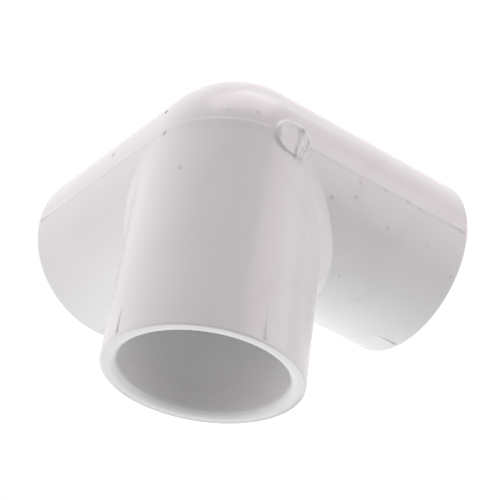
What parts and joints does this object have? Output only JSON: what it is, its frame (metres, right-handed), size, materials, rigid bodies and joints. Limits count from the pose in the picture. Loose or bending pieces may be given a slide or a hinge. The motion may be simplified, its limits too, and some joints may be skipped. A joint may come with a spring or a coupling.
{
  "type": "side outlet elbow",
  "caption": "Corner pipe fitting: equal plain sockets, all square to one another, share a rounded heel and a common waterway, so cemented pipes meet in a corner.",
  "frame": {"origin": "where the axes of the sockets cross", "axes": "+X out of the run socket, -Z out of the lower run socket, -Y out of the side outlet; the fitting stands on the lower socket's mouth, 47 mm under the origin"},
  "size_m": [0.0672, 0.0672, 0.0672],
  "materials": {
    "white_pvc": "smooth semi-gloss white rigid PVC, as moulded"
  },
  "bodies": {
    "root": {"side_outlet_elbow": "white_pvc"}
  },
  "joints": []
}
